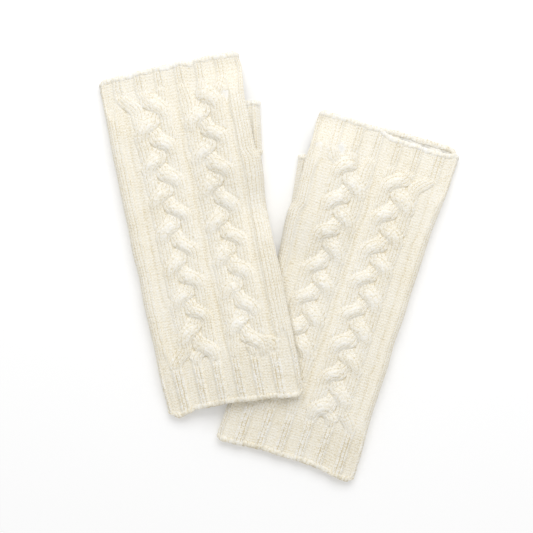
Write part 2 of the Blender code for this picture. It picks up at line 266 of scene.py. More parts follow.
LEFT = Glove(
    "left", 1.0, math.radians(11.3), 45.5, 46.9, 48.8, 50.8,
    first_beat=-72.6, beat=11.65,
    outer_border=38.0, thumb_border=35.0,
    outer_ease=((-115, 1.2), (-80, 2.6), (60, 2.2), (115, 1.4)),
    thumb_ease=((-115, 2.4), (-60, 1.6), (30, 0.0), (85, -1.2), (112, 1.0)),
    wrist_rim=((-47, 1.2), (-41, -0.4), (-26, 3.3), (0, 3.5), (20, 1.4), (40, -0.9), (47, -0.5)),
    finger_rim=((-48, 2.7), (8, 5.2), (13.5, 3.9), (18, 5.2), (40, 5.3), (48, 4.8)),
    mouth_drop=0.0,
)


# ---- small tools -------------------------------------------------------------
def smooth(value, low, high):
    """0 below low, 1 above high, and an even curve between."""
    t = np.clip((value - low) / (high - low), 0.0, 1.0)
    return t * t * (3.0 - 2.0 * t)


def mix(first, second, share):
    """first where share is 0, second where it is 1."""
    return first + (second - first) * share


def hill(value, middle, width):
    """A rounded hill, 1 high at its middle."""
    return np.exp(-(((value - middle) / width) ** 2))


def through(points, value):
    """An even curve through a few (value, height) points."""
    result = np.full(np.shape(value), float(points[0][1]))
    for (low, start), (high, stop) in zip(points, points[1:]):
        result += (stop - start) * smooth(value, low, high)
    return result


def noise(x, y, seed):
    """Soft noise from -1 to 1 with one hill or hollow to a unit."""
    table = np.random.default_rng(seed).uniform(-1.0, 1.0, (NOISE_CELLS, NOISE_CELLS))
    left, low = np.floor(x).astype(int), np.floor(y).astype(int)
    across, up = x - left, y - low
    across, up = smooth(across, 0.0, 1.0), smooth(up, 0.0, 1.0)

    def corner(i, j):
        return table[(left + i) % NOISE_CELLS, (low + j) % NOISE_CELLS]

    lower = mix(corner(0, 0), corner(1, 0), across)
    upper = mix(corner(0, 1), corner(1, 1), across)
    return mix(lower, upper, up)


def unevenness(waver, across, along):
    """A waver's value at a place."""
    return waver.size * noise(across / waver.across, along / waver.along, waver.seed)


# ---- where a place of the tube is in the world -------------------------------
def thumb_joint(glove):
    """The frame's joint of a glove's thumb."""
    return next(j for j in frame["joints"] if j["name"] == f"{glove.name}_thumb_swing")


def sleeve_offset(glove, across, along):
    """A place counted from the sleeve's outer root corner, as the glove's (across, along)."""
    return (
        glove.sleeve_out + across * math.cos(SLEEVE_LEAN) + along * math.sin(SLEEVE_LEAN),
        SLEEVE_ROOT - across * math.sin(SLEEVE_LEAN) + along * math.cos(SLEEVE_LEAN),
    )


def from_sleeve(glove, across, along):
    """The opposite: the glove's (across, along) as a place from that corner."""
    side, ahead = across - glove.sleeve_out, along - SLEEVE_ROOT
    return (
        side * math.cos(SLEEVE_LEAN) - ahead * math.sin(SLEEVE_LEAN),
        side * math.sin(SLEEVE_LEAN) + ahead * math.cos(SLEEVE_LEAN),
    )


def turned(glove, across, along):
    """The glove's (across, along) as table directions, from the glove's own middle."""
    side = glove.side * across
    return (
        side * math.cos(glove.turn) - along * math.sin(glove.turn),
        side * math.sin(glove.turn) + along * math.cos(glove.turn),
    )


def centre(glove):
    """The middle of a glove, from its thumb's hinge."""
    hinge = [value / MM for value in thumb_joint(glove)["pos_m"][:2]]
    corner = turned(glove, *sleeve_offset(glove, 0.0, 0.0))
    return hinge[0] - corner[0], hinge[1] - corner[1]


CENTRES = {glove.name: centre(glove) for glove in (RIGHT, LEFT)}


def on_table(glove, across, along):
    """World x and y of the glove's (across, along)."""
    x, y = turned(glove, across, along)
    return CENTRES[glove.name][0] + x, CENTRES[glove.name][1] + y


def from_table(glove, x, y):
    """The glove's (across, along) of a world x and y."""
    x, y = x - CENTRES[glove.name][0], y - CENTRES[glove.name][1]
    across = glove.side * (x * math.cos(glove.turn) + y * math.sin(glove.turn))
    return across, -x * math.sin(glove.turn) + y * math.cos(glove.turn)


def half_width(glove, along):
    """Half of a glove's width: it narrows from the wrist to its waist and widens again."""
    place = 2.0 * along / GLOVE_LENGTH
    bow = (glove.wrist + glove.fingers) / 2.0 - glove.waist
    return glove.waist + (glove.fingers - glove.wrist) / 2.0 * place + bow * place * place


def gusset(along):
    """The swell of the thumb's side below the sleeve."""
    start, peak, end = GUSSET_SWELL
    return GUSSET * (smooth(along, start, peak) - smooth(along, peak, end))


def thumb_lift(glove, across, along):
    """How far the thumb sleeve under the hand lifts the palm and the back."""
    side, ahead = from_sleeve(glove, across, along)
    beside = smooth(side, *LIFT_SIDE_RAMP) * (1.0 - smooth(ahead, *LIFT_TIP_RAMP))
    palm = PALM_LIFT * beside * smooth(ahead, *PALM_ROOT_RAMP)
    back = BACK_LIFT * beside * smooth(ahead, *BACK_ROOT_RAMP)
    return palm, back


def flattened(along):
    """The share of its height that a glove keeps as it thins towards its mouths."""
    return 1.0 - MOUTH_FLAT * smooth(np.abs(along), *MOUTH_RUN)


def drape(x, y):
    """How high the right glove carries the left one at a world x and y."""
    across, along = from_table(RIGHT, x, y)
    inside = smooth(RIGHT.fingers - across, -DRAPE_RUN, 0.0)
    return DRAPE_HEIGHT * inside * (1.0 - smooth(along, *DRAPE_FADE)) * flattened(along)


def pressed(x, y):
    """1 where the left glove lies on this place, 0 in the open."""
    across, along = from_table(LEFT, x, y)
    inside = np.minimum(LEFT.waist - np.abs(across), GLOVE_LENGTH / 2.0 - np.abs(along))
    return smooth(inside, *PRESSED_EDGE)


def fold(s, flat, radius):
    """How far round its folded side a place is, from 0 on the top to pi underneath, and its
    share of the flat part's reach."""
    angle = np.clip((np.abs(s) - flat) / radius, 0.0, math.pi)
    half = 2.0 * flat + math.pi * radius
    core = np.clip(np.minimum(np.abs(s), half - np.abs(s)) / flat, 0.0, 1.0)
    return angle, core


def rim_shift(glove, s, v):
    """How far the two mouths' uneven rims pull the fabric along the hand."""
    angle, core = fold(s, HAND_FLAT, HAND_RADIUS)
    across = np.sign(s) * (core * HAND_FLAT + HAND_RADIUS * np.sin(angle))
    top = 0.5 + 0.5 * np.cos(angle)
    zero = np.zeros(s.shape)
    fingers = through(glove.finger_rim, across) + unevenness(FINGER_RIM_WAVER, s, zero)
    low = smooth(across, *MOUTH_LOW[:2]) * (1.0 - smooth(across, *MOUTH_LOW[2:]))
    fingers = fingers - glove.mouth_drop * top * low
    wrist = through(glove.wrist_rim, across) + unevenness(WRIST_RIM_WAVER, s, zero + 5.0)
    starts, stops, depth = CORNER
    corner = depth * smooth(np.abs(across), starts, stops) ** 2
    end = GLOVE_LENGTH / 2.0
    at_wrist = 1.0 - smooth(v, -end, -end + RIM_PULL[0])
    at_fingers = smooth(v, end - RIM_PULL[1], end)
    return (fingers - corner) * at_fingers + (wrist + corner) * at_wrist


def hand_place(glove, s, v, inset, relief):
    """World places of the hand's fabric: inset under the CAD's skin, then relief out of it."""
    angle, core = fold(s, HAND_FLAT, HAND_RADIUS)
    side = np.sign(s)
    v = v + rim_shift(glove, s, v)
    ease = np.where(s > 0.0, through(glove.thumb_ease, v) + gusset(v), through(glove.outer_ease, v))
    starts, stops, depth = CORNER_EASE
    ease = ease + unevenness(SIDE_WAVER, v, side + 3.0) - depth * smooth(np.abs(v), starts, stops)
    flat = core * (half_width(glove, v) - HAND_RADIUS) + smooth(core, EASE_CORE, 1.0) * ease
    across = side * (flat + (HAND_RADIUS - inset) * np.sin(angle))
    up = (HAND_RADIUS + (HAND_RADIUS - inset) * np.cos(angle)) * flattened(v)
    palm, back = thumb_lift(glove, across, v)
    height = up + mix(palm, back, 0.5 + 0.5 * np.cos(angle))
    x, y = on_table(glove, across, v)
    if glove is LEFT:
        height = height + drape(x, y)
    else:
        top = smooth(np.cos(angle), 0.0, 1.0)
        relief = relief * (1.0 - PRESSED_SHARE * pressed(x, y) * top)
    x, y = on_table(glove, across + side * np.sin(angle) * relief, v)
    return np.stack([x, y, np.maximum(height + np.cos(angle) * relief, 0.0)], axis=-1)


def sleeve_place(glove, s, v, inset, relief):
    """World places of the thumb sleeve, which lies flat on the table; its root narrows into the
    hole in the palm."""
    flat = SLEEVE_WIDTH / 2.0 - SLEEVE_RADIUS
    angle, core = fold(s, flat, SLEEVE_RADIUS)
    side = np.sign(s)
    reach = SLEEVE_RADIUS - inset + relief
    narrow = 1.0 - ROOT_TAPER * smooth(-v, 0.0, ROOT_ROWS * ROW)
    across = side * narrow * (core * flat + reach * np.sin(angle)) - SLEEVE_WIDTH / 2.0
    height = np.maximum(SLEEVE_RADIUS + narrow * reach * np.cos(angle), 0.0)
    x, y = on_table(glove, *sleeve_offset(glove, across, v))
    return np.stack([x, y, height], axis=-1)


# ---- stitches ----------------------------------------------------------------
def knit(x, y):
    """V stitches, 0 in the gaps to 1 on the yarn. x counts wales and y courses."""
    half = np.abs(2.0 * (x - np.floor(x)) - 1.0)
    slant = y - KNIT_SLANT * half
    leg = 1.0 - np.abs(2.0 * (slant - np.floor(slant)) - 1.0) ** 2.5
    bar = (1.0 - half ** 2.2) * (1.0 - 0.5 * (1.0 - smooth(half, 0.0, 0.45)))
    return bar * (0.25 + 0.75 * leg)


def purl(x, y):
    """Rows of purl bumps, 0 to 1."""
    wave = y + PURL_WAVE * np.cos(2.0 * math.pi * x)
    row = 1.0 - (2.0 * (wave - np.floor(wave)) - 1.0) ** 2
    return row * (PURL_EVEN + (1.0 - PURL_EVEN) * np.cos(2.0 * math.pi * x))


def ribbed_ends(glove, v, inner, outer):
    """1 in the cuff and the finger band, 0 in the panel, turning from inner to outer millimetres
    beyond the plaits' first and last crossings."""
    low = glove.first_beat - 0.6 * glove.beat
    high = glove.first_beat + (CROSSINGS - 0.4) * glove.beat
    return 1.0 - smooth(v, low - outer, low - inner) * (1.0 - smooth(v, high + inner, high + outer))


def strand_place(glove, v, strand, middle):
    """Where a strand of a plait runs across the back, and its lift. It grows out of a rib."""
    beat = np.clip((v - glove.first_beat) / glove.beat + 0.5, 0.0, CROSSINGS)
    step = (beat + 2.0 * strand) % 6.0
    lane = np.where(step < 3.0, 1.0, -1.0) * through(STRAND_LANES, step % 3.0)
    rib = RIB_WALE + RIB_REPEAT * round((middle / WALE - RIB_WALE) / RIB_REPEAT)
    in_rib = ribbed_ends(glove, v - BAND_DELAY * smooth(v, -10.0, 10.0), *STRAND_ENDS)
    across = mix(middle + STRAND_GAP * lane, (rib + RIB_REPEAT * lane) * WALE, in_rib)
    return across, through(STRAND_LIFTS, step % 3.0) * (1.0 - in_rib)


def strands(glove, across, v, middle):
    """The height of a plait's topmost strand, and the stitches on it."""
    height = np.zeros(np.shape(across))
    yarn = np.zeros(np.shape(across))
    narrow = mix(1.0, STRAND_NARROW, ribbed_ends(glove, v, *NARROW_ENDS))
    for strand in range(3):
        here, lift = strand_place(glove, v, strand, middle)
        ahead, _ = strand_place(glove, v + STRAND_STEP, strand, middle)
        slope = (ahead - here) / STRAND_STEP
        sideways = across - here
        nearest = v + slope * sideways / (1.0 + slope * slope)
        distance = sideways / np.sqrt(1.0 + slope * slope) / (STRAND_HALF * narrow)
        round_top = np.clip(1.0 - distance ** 2, 0.0, 1.0) ** STRAND_ROUND
        stitch = knit(distance * STRAND_WALES / 2.0, nearest / COURSE)
        this = (STRAND_RISE + lift) * round_top
        wins = this > height
        height = np.where(wins, this, height)
        yarn = np.where(wins, stitch, yarn)
    return height, yarn


def lobes(glove, across, v, middle, height, yarn):
    """Raises each crossing strand: it comes up its lane, bends towards the middle, swells and
    ends blunt over its neighbour."""
    strays, widens, swells = LOBE_VARIES
    highlight_from, highlight_to, highlight_share = LOBE_PAINTED_HIGHLIGHT
    for crossing in range(CROSSINGS):
        way = 1.0 if crossing % 2 == 0 else -1.0
        size, swell, place = np.random.default_rng(crossing).uniform(-1.0, 1.0, 3)
        start = glove.first_beat + crossing * glove.beat + LOBE_START + strays * place
        right = way * (across - middle) - STRAND_GAP + LOBE_BEND
        up = v - start
        angle = np.arctan2(np.maximum(up, 0.0), right)
        beside = np.where(up > 0.0, np.hypot(right, up), right) - LOBE_BEND
        length = np.where(up > 0.0, LOBE_BEND * angle, up)
        past = np.maximum(length - LOBE_BEND * LOBE_TURN, 0.0)
        grown = smooth(length, *LOBE_GROWS)
        half = mix(*LOBE_HALF, grown) * (1.0 + widens * size)
        over = beside / half
        dome = np.clip(1.0 - over ** 2 - (past / half) ** 2, 0.0, 1.0) ** LOBE_ROUND
        rise = mix(*LOBE_RISE, grown) * (1.0 + swells * swell)
        this = rise * dome * (1.0 - LOBE_TILT * over * grown) * smooth(up, *LOBE_SINKS)
        stitch = knit(over * STRAND_WALES / 2.0, length / COURSE)
        wins = this > height
        height = np.where(wins, this, height)
        # painted highlight: the stitches pale towards the crest colour on its highest places
        highlighted_yarn = mix(stitch, 1.0, highlight_share * smooth(this, highlight_from, highlight_to))
        yarn = np.where(wins, highlighted_yarn, yarn)
    return height, yarn


def ribbing(x, middle, wales, repeat):
    """1 on the knit wales of a rib, 0 on its purl wales."""
    from_rib = np.abs((x - middle + repeat / 2.0) % repeat - repeat / 2.0)
    return 1.0 - smooth(from_rib, wales / 2.0 - 0.5, wales / 2.0 + 0.25)


def flat_knitting(glove, x, y, across, panel, at_wrist, flecks):
    """The height and yarn of ribs, purl ground and borders, before the plaits are laid over."""
    ribs = ribbing(x, RIB_WALE, RIB_WALES, RIB_REPEAT)
    rib_rise = mix(BAND_RIB_RISE, CUFF_RIB_RISE, at_wrist)
    rise = mix(rib_rise * ribs ** RIB_ROUND, KNIT_RISE, panel)
    starts, stops = BORDER_EDGE
    border = smooth(across, glove.thumb_border + starts, glove.thumb_border + stops)
    border = border + smooth(-across, glove.outer_border + starts, glove.outer_border + stops)
    knitted = mix(ribs, border, panel)

    knit_yarn, purl_yarn = knit(x, y), purl(x, y)
    depth = mix(RIB_DEPTH, KNIT_DEPTH, panel)
    height = mix(PURL_DEPTH * purl_yarn, rise + depth * knit_yarn, knitted)
    cuff = (1.0 - panel) * at_wrist
    # in the cuff: painted shade in the gaps and painted highlight on the stitches
    crisp = knit_yarn + cuff * (CUFF_KNIT_PAINTED_SHADE_AND_HIGHLIGHT[0] + CUFF_KNIT_PAINTED_SHADE_AND_HIGHLIGHT[1] * knit_yarn + flecks)
    ground = PURL_TONE[0] + CUFF_PURL_PAINTED_SHADE * cuff + PURL_TONE[1] * purl_yarn
    return height, mix(ground, crisp, knitted)


def channels(glove):
    """Where the grooves beside and between the plaits run along the back, and how deep each is."""
    middle, thumb_side, outer_side = CHANNEL_SHIFTS
    return (
        (sum(PLAITS) / 2.0 + middle, 1.0),
        (glove.thumb_border + thumb_side, SIDE_CHANNEL),
        (outer_side - glove.outer_border, SIDE_CHANNEL),
    )


def hand_relief(glove, s, v):
    """The height of the hand's knitting over its ground, and its yarn from 0 deep to 1 pale:
    painted shade in the gaps and painted highlight on the crests.
    """
    zero = np.zeros(s.shape)
    x = s / WALE + unevenness(WALE_WAVER, s, v)
    y = v / COURSE + unevenness(COURSE_DRIFT, s, v) + unevenness(COURSE_WAVER, s, v)
    across = s + unevenness(ACROSS_WAVER, s, v)
    along = v + unevenness(ALONG_WAVER, s, v)

    valley = 0.5 - 0.5 * np.cos(2.0 * math.pi * (x - RIB_WALE) / RIB_REPEAT)
    tongue = np.sign(v) * RIB_TONGUE * (valley - 0.5)
    panel = 1.0 - ribbed_ends(glove, along + tongue + unevenness(RIB_END_WAVER, s, zero), *RIB_ENDS)
    at_wrist = 1.0 - smooth(v, *MIDDLE_RUN)
    flecks = unevenness(CUFF_FLECKS, s, v)
    height, yarn = flat_knitting(glove, x, y, across, panel, at_wrist, flecks)

    fade = 1.0 - ribbed_ends(glove, along, *PLAIT_ENDS)
    brushed = BRUSHED_TONE + unevenness(BRUSHED_FLECKS, s, v)
    for middle in PLAITS:
        over, stitches = strands(glove, across, along, middle)
        over, stitches = lobes(glove, across, along, middle, over, stitches)
        share = BRUSHED_SHARE[0] + BRUSHED_SHARE[1] * smooth(over, *BRUSHED_HEIGHTS)
        stitches = mix(stitches, brushed, share)
        over = (over + STRAND_DEPTH * stitches * smooth(over, 0.0, 0.8)) * fade
        wins = over > height
        height = np.where(wins, over, height)
        yarn = np.where(wins, stitches, yarn)

    wandering = across + unevenness(CHANNEL_WAVER, v, zero)
    for channel, deep in channels(glove):
        groove = deep * hill(wandering, channel, CHANNEL_WIDTH) * panel
        height = height - CHANNEL_DEPTH * groove
        # painted shade in the grooves
        yarn = yarn + CHANNEL_PAINTED_SHADE * groove
    return height + unevenness(SWELLS, s, v) + unevenness(FUZZ, s, v), yarn


def soften(values, reach):
    """The mean of a hand's lattice within reach points; its columns close into a ring."""
    ring = np.pad(values, ((0, 0), (reach, reach)), mode="wrap")
    padded = np.pad(ring, ((reach, reach), (0, 0)), mode="edge")
    span = 2 * reach + 1
    for axis in (0, 1):
        total = np.cumsum(padded, axis=axis)
        total = np.insert(total, 0, 0.0, axis=axis)
        high = np.take(total, range(span, total.shape[axis]), axis=axis)
        low = np.take(total, range(total.shape[axis] - span), axis=axis)
        padded = (high - low) / span
    return padded


def outward(glove, points, wraps=False):
    """Unit normals of a lattice of points on the hand."""
    around = np.gradient(points, axis=1)
    if wraps:
        around = np.roll(points, -1, axis=1) - np.roll(points, 1, axis=1)
    normals = glove.side * np.cross(around, np.gradient(points, axis=0))
    return normals / np.linalg.norm(normals, axis=-1, keepdims=True)


def hand_fabric(glove):
    """The whole hand's relief, yarn and normals, so that its pieces match where they meet. Warm
    painted shade darkens the yarn in the creases between strands."""
    s, v = lattice((-COLUMNS // 2, COLUMNS // 2), (0, ROWS))
    height, yarn = hand_relief(glove, s, v)
    # painted shade in the creases between strands
    crease_shade_mask = smooth(soften(height, CREASE_REACH) - height, *CREASE_DEPTH)
    normals = outward(glove, hand_place(glove, s, v, GROUND, height), wraps=True)
    return height, yarn + CREASE_PAINTED_SHADE * crease_shade_mask, normals


def sleeve_relief(glove, s, v):
    """The height and yarn of the thumb sleeve, which is ribbed two and two."""
    x = s / WALE + unevenness(SLEEVE_WALE_WAVER, s, v)
    y = v / COURSE + unevenness(SLEEVE_COURSE_WAVER, s, v)
    ribs = ribbing(x, 0.0, *SLEEVE_RIB)
    knit_yarn, purl_yarn = knit(x, y), purl(x, y)
    height = mix(PURL_DEPTH * purl_yarn, SLEEVE_RISE + SLEEVE_DEPTH * knit_yarn, ribs)
    # painted shade: the purl valleys between the ribs are darker
    ground = SLEEVE_PURL_TONE[0] + SLEEVE_PURL_TONE[1] * purl_yarn
    return height + unevenness(SLEEVE_FUZZ, s, v), mix(ground, knit_yarn, ribs)


# ---- meshes ------------------------------------------------------------------
def boundary_walls(present, outside, inside, wraps):
    """Faces that join the outer skin to the inner along the edges of the present cells."""
    rows, columns = present.shape
    walls = []
    for row in range(rows):
        for column in range(columns):
            if not present[row, column]:
                continue
            r, c = row * SKIP, column * SKIP
            right = (column + 1) % columns if wraps else column + 1
            across = [(c + k) % outside.shape[1] if wraps else c + k for k in range(SKIP + 1)]
            upward = [r + k for k in range(SKIP + 1)]
            if row == 0 or not present[row - 1, column]:
                walls.append([outside[r, k] for k in reversed(across)]
                             + [inside[row, column], inside[row, right]])
            if row == rows - 1 or not present[row + 1, column]:
                walls.append([outside[r + SKIP, k] for k in across]
                             + [inside[row + 1, right], inside[row + 1, column]])
            if not wraps and (column == 0 or not present[row, column - 1]):
                walls.append([outside[k, c] for k in upward]
                             + [inside[row + 1, column], inside[row, column]])
            if not wraps and (column == columns - 1 or not present[row, column + 1]):
                walls.append([outside[k, c + SKIP] for k in reversed(upward)]
                             + [inside[row, right], inside[row + 1, right]])
    return walls


def quads(numbers, keep, wraps):
    """The four-cornered faces of a lattice of point numbers."""
    after = np.roll(numbers, -1, axis=1) if wraps else numbers[:, 1:]
    here = numbers if wraps else numbers[:, :-1]
    faces = np.stack([here[:-1], after[:-1], after[1:], here[1:]], axis=-1)
    return faces[keep].reshape(-1, 4)


def mesh_of(name, points, groups):
    """A mesh of groups of faces on the points that they use, and those points' numbers. All the
    faces of a group have as many corners, and the last group's are flat."""
    used = np.unique(np.concatenate([group.ravel() for group in groups]))
    renumber = np.zeros(len(points), np.int32)
    renumber[used] = np.arange(len(used))
    corners = np.concatenate([renumber[group].ravel() for group in groups])
    sizes = np.concatenate([np.full(len(group), group.shape[1]) for group in groups])
    rounded = np.ones(len(sizes), bool)
    rounded[-len(groups[-1]):] = False

    mesh = bpy.data.meshes.new(name)
    mesh.vertices.add(len(used))
    mesh.vertices.foreach_set("co", points[used].astype(np.float32).ravel())
    mesh.loops.add(len(corners))
    mesh.loops.foreach_set("vertex_index", corners)
    mesh.polygons.add(len(sizes))
    mesh.polygons.foreach_set("loop_start", (np.cumsum(sizes) - sizes).astype(np.int32))
    mesh.update(calc_edges=True)
    mesh.polygons.foreach_set("use_smooth", rounded)
    return mesh, used


def set_yarn(mesh, tones):
    """Stores how pale each point is, with its painted shade and painted highlight, which the wool
    reads.
    """
    attribute = mesh.attributes.new("yarn", "FLOAT", "POINT")
    attribute.data.foreach_set("value", tones.ravel().astype(np.float32))


def shell_mesh(name, outer, inner, yarn, wraps=False, present=None, mirrored=False, normals=None):
    """A closed shell of fabric between a fine outer lattice and a coarse inner one. present says
    which of the inner lattice's cells are there."""
    rows, columns = outer.shape[:2]
    outside = np.arange(rows * columns).reshape(rows, columns)
    inside = outside.size + np.arange(inner.shape[0] * inner.shape[1]).reshape(inner.shape[:2])
    if present is None:
        present = np.ones((inner.shape[0] - 1, inner.shape[1] - (0 if wraps else 1)), bool)
    fine = np.kron(present, np.ones((SKIP, SKIP), bool)).astype(bool)
    skin = quads(outside, fine, wraps)
    lining = quads(inside, present, wraps)[:, ::-1]
    walls = np.array(boundary_walls(present, outside, inside, wraps))
    way = -1 if mirrored else 1
    points = np.concatenate([outer.reshape(-1, 3), inner.reshape(-1, 3)]) * MM
    mesh, used = mesh_of(name, points, [group[:, ::way] for group in (skin, lining, walls)])
    set_yarn(mesh, np.concatenate([yarn.ravel(), np.full(inside.size, LINING_TONE)])[used])
    mesh.validate()
    if normals is not None:
        both = np.concatenate([normals.reshape(-1, 3), -normals[::SKIP, ::SKIP].reshape(-1, 3)])
        mesh.normals_split_custom_set_from_vertices(both[used].tolist())
    return mesh


def lattice(columns, rows, half_round=HALF_ROUND, start=-GLOVE_LENGTH / 2.0):
    """s and v of the lattice points in a range of columns and of rows."""
    v, s = np.meshgrid(
        start + ROW * np.arange(rows[0], rows[1] + 1),
        WALE / WALE_POINTS * np.arange(columns[0], columns[1]),
        indexing="ij",
    )
    s = np.where(s > half_round + 1e-6, s - 2.0 * half_round, s)
    return s, v


def add_piece(glove, piece, mesh, material, body=None):
    """A visible piece that stands for the CAD node of the same name, and rides on a body where one
    is given.
    """
    thing = bpy.data.objects.new(f"knit_{glove.name}_{piece}", mesh)
    bpy.context.scene.collection.objects.link(thing)
    mesh.materials.append(material)
    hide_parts(f"{glove.name}_{piece}")
    if body:
        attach(thing, body)
    return thing


def lining_depth(s):
    """How far the inner skin lies under the CAD's: the back is the thicker layer."""
    angle, _ = fold(s, HAND_FLAT, HAND_RADIUS)
    return mix(LINING, PALM_LINING, smooth(angle, 0.0, math.pi))


def hand_shell(glove, piece, fabric, columns, rows, wraps=False, extra=None, hole=None):
    """A part of the hand's tube as a shell."""
    last = columns[1] if wraps else columns[1] + 1
    s, v = lattice((columns[0], last), rows)
    around = (np.arange(columns[0], last) + COLUMNS // 2) % COLUMNS
    height, yarn, normals = (values[rows[0]:rows[1] + 1, around] for values in fabric)
    if extra:
        rise, tint = extra(s, v)
        height = height + rise
        yarn = yarn + tint
    outer = hand_place(glove, s, v, GROUND, height)
    if extra:
        normals[:, 1:-1] = outward(glove, outer)[:, 1:-1]
    s, v = s[::SKIP, ::SKIP], v[::SKIP, ::SKIP]
    inner = hand_place(glove, s, v, lining_depth(s), np.zeros(s.shape))
    present = ~hole(glove, s, v)[:-1, :-1] if hole else None
    name = f"{glove.name}_{piece}"
    return shell_mesh(name, outer, inner, yarn, wraps, present, glove.side < 0.0, normals)


def sleeve_shell(glove, piece, rows):
    """A stretch of the thumb sleeve as a shell."""
    columns = (-SLEEVE_COLUMNS // 2, SLEEVE_COLUMNS // 2)
    s, v = lattice(columns, rows, start=0.0)
    s = s * SLEEVE_ROUND / (SLEEVE_COLUMNS * WALE / WALE_POINTS)
    height, yarn = sleeve_relief(glove, s, v)
    outer = sleeve_place(glove, s, v, SLEEVE_GROUND, height)
    s, v = s[::SKIP, ::SKIP], v[::SKIP, ::SKIP]
    inner = sleeve_place(glove, s, v, SLEEVE_LINING, np.zeros(s.shape))
    name = f"{glove.name}_{piece}"
    return shell_mesh(name, outer, inner, yarn, wraps=True, mirrored=glove.side < 0.0)


def thumb_hole(glove, s, v):
    """Where the palm is open for the thumb: true on the cells to leave out."""
    _, core = fold(s, HAND_FLAT, HAND_RADIUS)
    across = np.sign(s) * core * HAND_FLAT + HAND_RADIUS
    side, ahead = from_sleeve(glove, across, v)
    inside = (side > HOLE_ACROSS[0]) & (side < HOLE_ACROSS[1])
    return inside & (ahead > HOLE_ALONG[0]) & (ahead < HOLE_ALONG[1])


def seam_ladder(s, v):
    """A linked seam: a groove along the folded side with a small bar across it at each course, and
    painted shade in the groove between the bars.
    """
    groove = smooth(1.0 - np.abs(np.abs(s) - SIDE) / (SEAM_COLUMNS * WALE / WALE_POINTS), 0.0, 0.9)
    bars = 0.5 + 0.5 * np.cos(2.0 * math.pi * v / COURSE)
    return groove * (SEAM_BAR * bars - SEAM_DEPTH), groove * SEAM_PAINTED_SHADE * (1.0 - bars)


def ring_faces(count, mirrored):
    """The faces of a ring of count sections with RIM_SIDES points each."""
    numbers = np.arange(count * RIM_SIDES).reshape(count, RIM_SIDES)
    after, around = np.roll(numbers, -1, axis=0), np.roll(numbers, -1, axis=1)
    faces = np.stack([numbers, after, np.roll(after, -1, axis=1), around], axis=-1).reshape(-1, 4)
    return faces if mirrored else faces[:, ::-1]


def rim_mesh(glove, piece, place, relief, lining, spots, middle, tones):
    """A cast-on edge: a rolled ring round one mouth, with a small loop of yarn at each wale.

    place, relief and lining are the tube's own functions, spots its s values, middle the ring's v,
    and tones how pale it is on its top and on its underside, where it is darker with painted shade.
    """
    turns = np.linspace(0.0, 2.0 * math.pi, RIM_SIDES, endpoint=False)
    s, turn = np.meshgrid(spots, turns, indexing="ij")
    v = np.full(s.shape, middle)
    height, _ = relief(glove, s, v)
    ground = GROUND if place is hand_place else SLEEVE_GROUND
    outside, inside = ground - height, lining(s)
    loop = np.abs(np.sin(math.pi * (s / WALE + LOOP_TWIST * np.sin(turn))))
    plump = RIM_PLUMP[0] + RIM_PLUMP[1] * loop
    plump = plump + unevenness(RIM_LUMPS, s, turn) + unevenness(RIM_FUZZ, s, turn)
    depth = (inside - outside) / 2.0 + RIM_PADDING
    v = v + RIM_HALF * plump * np.cos(turn)
    inset = (inside + outside) / 2.0
    points = place(glove, s, v, inset, depth * plump * np.sin(turn))
    faces = ring_faces(len(spots), glove.side < 0.0)
    mesh = bpy.data.meshes.new(f"{glove.name}_{piece}")
    mesh.from_pydata((points.reshape(-1, 3) * MM).tolist(), [], faces.tolist())
    mesh.shade_smooth()
    # painted shade on the roll's underside and between its loops
    shade = mix(*tones, smooth(-np.sin(turn), *RIM_PAINTED_SHADE_SPAN))
    shade = shade + RIM_LOOP_TONE * loop + unevenness(RIM_FLECKS, s, turn)
    set_yarn(mesh, shade)
    return mesh


# ---- materials ---------------------------------------------------------------
# The gap colour is painted shade, the crest colour is partly the pale brushed wool and partly
# painted highlight, and the yarn colour is the wool's own.
GAP_PAINTED_SHADE_COLOUR = (0.70, 0.605, 0.41, 1.0)
YARN_COLOUR = (0.88, 0.83, 0.70, 1.0)
CREST_PAINTED_HIGHLIGHT_COLOUR = (0.965, 0.955, 0.925, 1.0)
YARN_STOP = 0.42                       # where the yarn's own colour lies between the other two
FLECKS = (1500.0, 0.32)                # as of single hairs: how many to a metre, how strong
PATCHES = (60.0, 0.08)                 # where the wool has taken the light differently
NOISE_RANGE = (0.3, 0.7)               # of Blender's noise, which seldom passes them
HAIR_BUMPS = (2600.0, 0.5, 0.0002)     # to a metre, strength, and depth in metres
WOOL_FINISH = {
    "Roughness": 0.95,
    "Specular IOR Level": 0.15,
    "Sheen Weight": 0.25,
    "Sheen Roughness": 0.6,
}


def noise_node(tree, place, scale, detail):
    """Noise through the fabric, with scale hills to a metre."""
    node = tree.nodes.new("ShaderNodeTexNoise")
    node.inputs["Scale"].default_value = scale
    node.inputs["Detail"].default_value = detail
    tree.links.new(place, node.inputs["Vector"])
    return node.outputs["Fac"]


def shift_node(tree, noise_value, strength):
    """Noise as a shift of the tone, from -strength to strength."""
    node = tree.nodes.new("ShaderNodeMapRange")
    low, high = NOISE_RANGE
    ends = {"From Min": low, "From Max": high, "To Min": -strength, "To Max": strength}
    for end, number in ends.items():
        node.inputs[end].default_value = number
    tree.links.new(noise_value, node.inputs["Value"])
    return node.outputs["Result"]


def sum_node(tree, first, second):
    """The sum of two values."""
    node = tree.nodes.new("ShaderNodeMath")
    node.operation = "ADD"
    tree.links.new(first, node.inputs[0])
    tree.links.new(second, node.inputs[1])
    return node.outputs[0]


